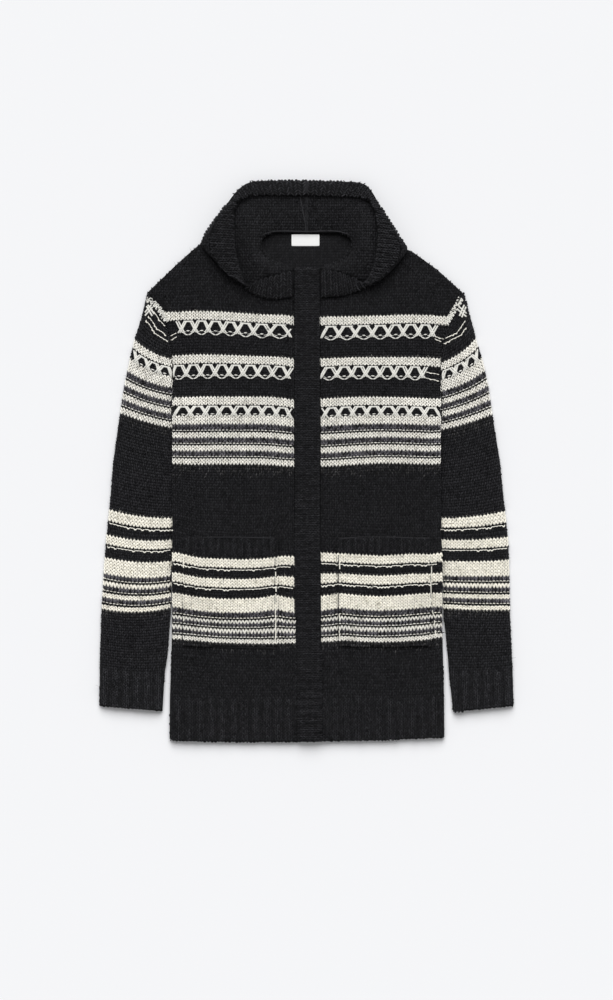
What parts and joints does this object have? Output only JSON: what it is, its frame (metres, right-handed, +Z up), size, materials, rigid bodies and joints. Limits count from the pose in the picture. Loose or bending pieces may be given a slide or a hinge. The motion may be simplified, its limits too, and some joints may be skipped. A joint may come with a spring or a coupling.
{
  "type": "hooded mohair cardigan, laid flat",
  "caption": "Chunky hooded cardigan lying flat, with striped fronts and sleeves, rib front bands and patch pockets.",
  "frame": {"origin": "bottom centre of the bounding box, on the surface that the garment lies on", "axes": "+X to the right as seen from the front, +Y from the hem to the hood, +Z up from the surface"},
  "size_m": [0.622, 0.8416, 0.03],
  "materials": {
    "mohair_knit": "brushed chunky mohair knit, black with cream stripes",
    "rib_knit": "brushed mohair rib, black",
    "label_tape": "plain woven satin tape, off-white"
  },
  "bodies": {
    "root": {"back": "mohair_knit", "front_left": "mohair_knit", "front_right": "mohair_knit", "sleeve_left": "mohair_knit", "sleeve_right": "mohair_knit", "hood_left": "mohair_knit", "hood_right": "mohair_knit", "pocket_left": "mohair_knit", "pocket_right": "mohair_knit", "hood_band_left": "rib_knit", "hood_band_right": "rib_knit", "front_band_left": "rib_knit", "front_band_right": "rib_knit", "neck_label": "label_tape"}
  },
  "joints": []
}
